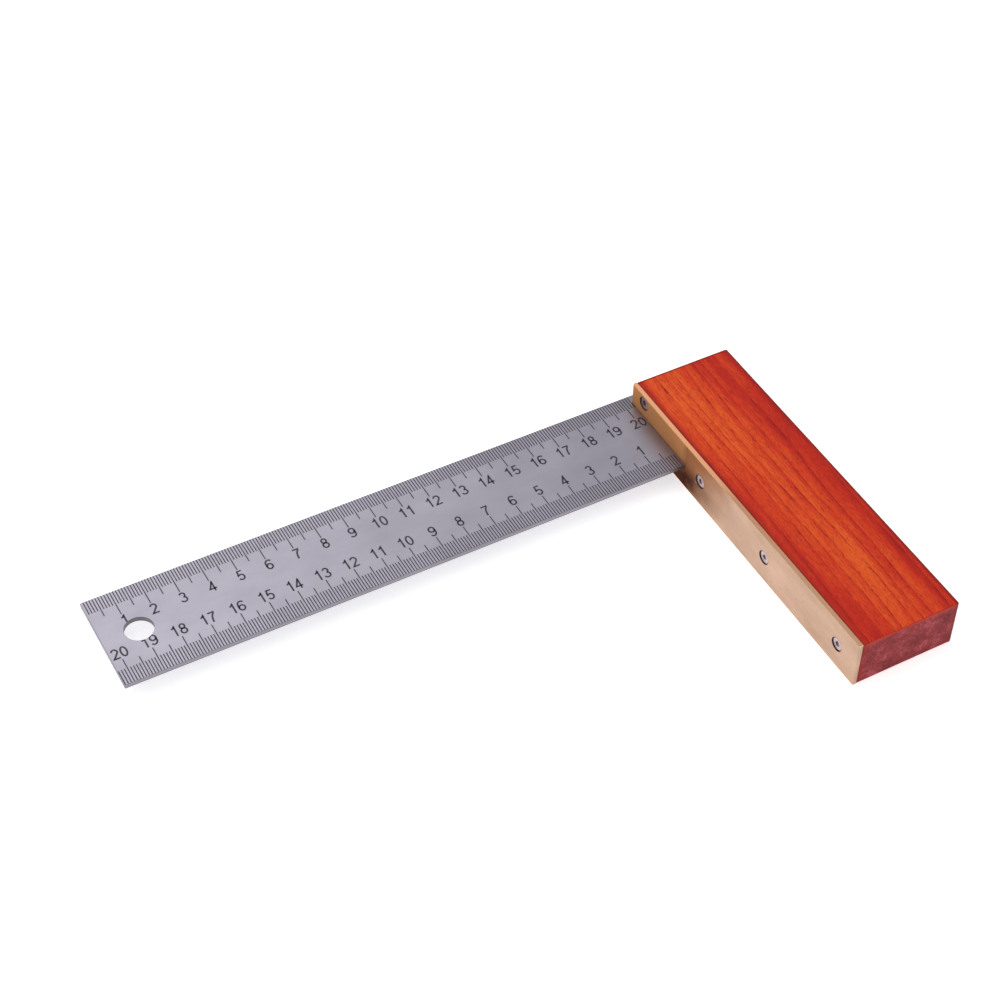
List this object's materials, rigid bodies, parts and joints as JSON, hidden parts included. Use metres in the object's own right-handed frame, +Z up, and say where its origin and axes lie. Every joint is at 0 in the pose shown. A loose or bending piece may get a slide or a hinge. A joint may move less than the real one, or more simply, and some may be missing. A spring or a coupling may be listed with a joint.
{
  "type": "try square",
  "caption": "Fixed right-angle try square: ruled steel blade with a hang hole, let into a hardwood stock faced with a screwed brass strip.",
  "frame": {"origin": "under the middle of the whole square, on the surface that it lies on", "axes": "+X along the blade from its free end towards the stock, +Y along the stock towards the corner of the square, +Z up, across the thickness"},
  "size_m": [0.242, 0.1384, 0.0187],
  "materials": {
    "blade_steel": "satin, etched scale",
    "stock_wood": "semi-gloss lacquer",
    "face_brass": "satin",
    "screw_steel": "zinc plated",
    "pin_steel": "plain",
    "epoxy": "cured adhesive"
  },
  "bodies": {
    "root": {"blade": "blade_steel", "stock_body": "stock_wood", "brass_face_plate": "face_brass", "face_screw_1": "screw_steel", "face_screw_2": "screw_steel", "face_screw_3": "screw_steel", "face_screw_4": "screw_steel", "tang_pin_1": "pin_steel", "tang_pin_2": "pin_steel", "tang_pin_3": "pin_steel", "tang_epoxy": "epoxy"}
  },
  "joints": []
}
